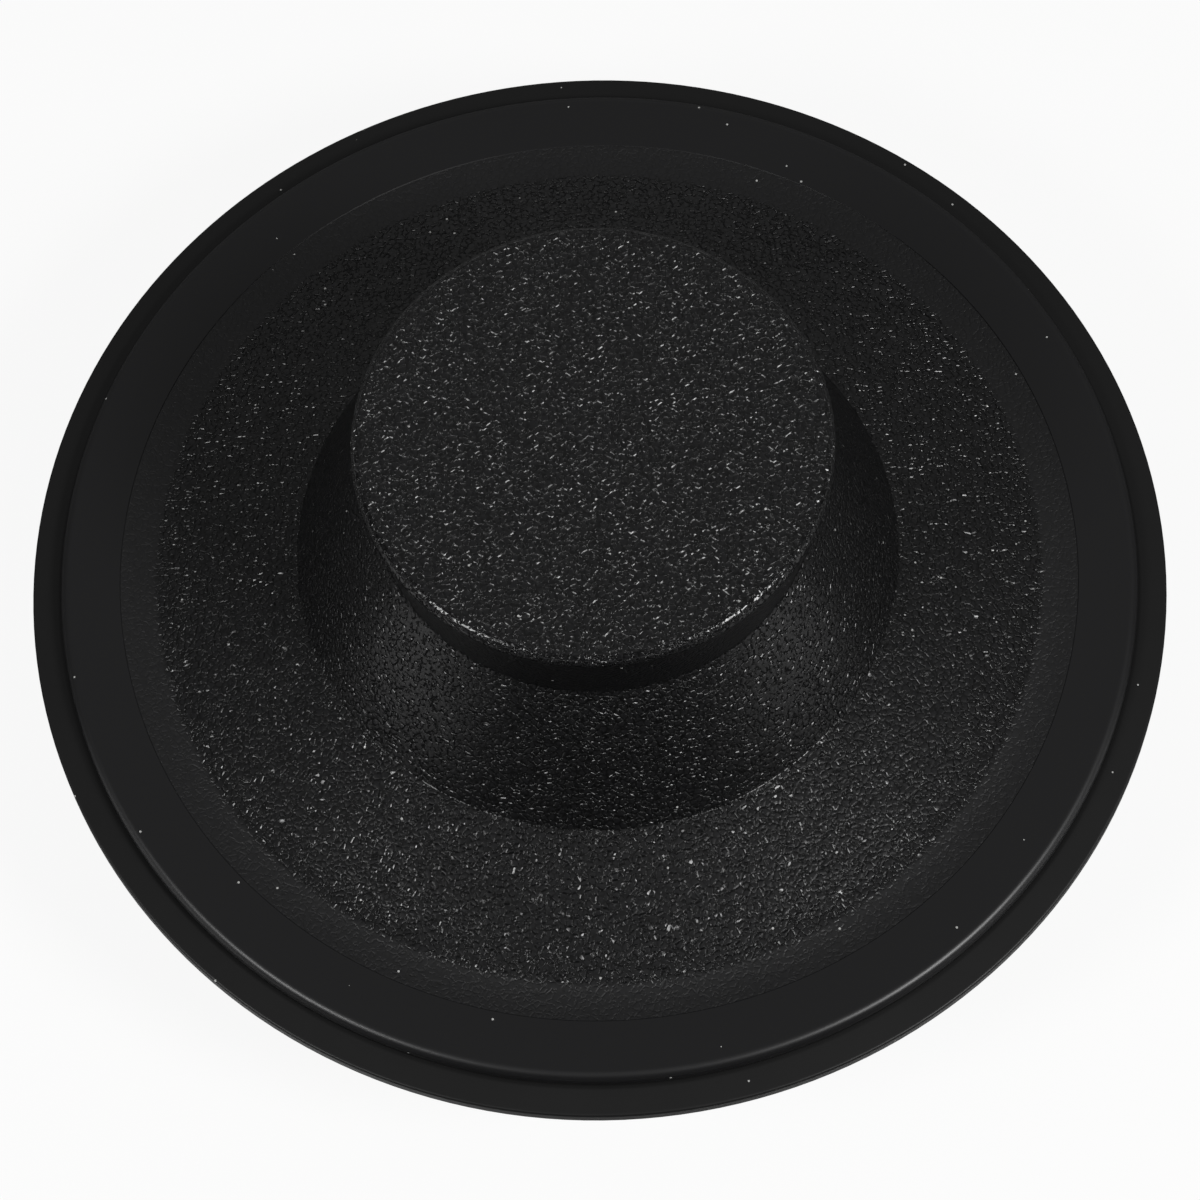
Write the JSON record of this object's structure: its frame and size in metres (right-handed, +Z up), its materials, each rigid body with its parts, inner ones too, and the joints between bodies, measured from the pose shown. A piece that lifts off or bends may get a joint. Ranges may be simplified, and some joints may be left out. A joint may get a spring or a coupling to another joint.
{
  "type": "drain stopper",
  "caption": "Round sink drain stopper with a waisted pull knob, a grained falling plate, a smooth rim, a rubber sealing lip and a guide ring below.",
  "frame": {"origin": "on the stopper's axis, on the plane that the guide ring stands on", "axes": "+Z up along the stopper's axis, out of the drain through the knob; +X and +Y along two of the guide ring's spokes"},
  "size_m": [0.086, 0.086, 0.0374],
  "materials": {
    "cap_plastic": "moulded black plastic, fine leather grain with a smooth satin rim",
    "gasket_rubber": "moulded black rubber, smooth and satin",
    "guide_plastic": "moulded black plastic, fine matt",
    "screw_steel": "bright stainless steel, formed"
  },
  "bodies": {
    "root": {"knob_cap": "cap_plastic", "seal_gasket": "gasket_rubber", "guide_ring": "guide_plastic", "retaining_screw": "screw_steel"}
  },
  "joints": []
}
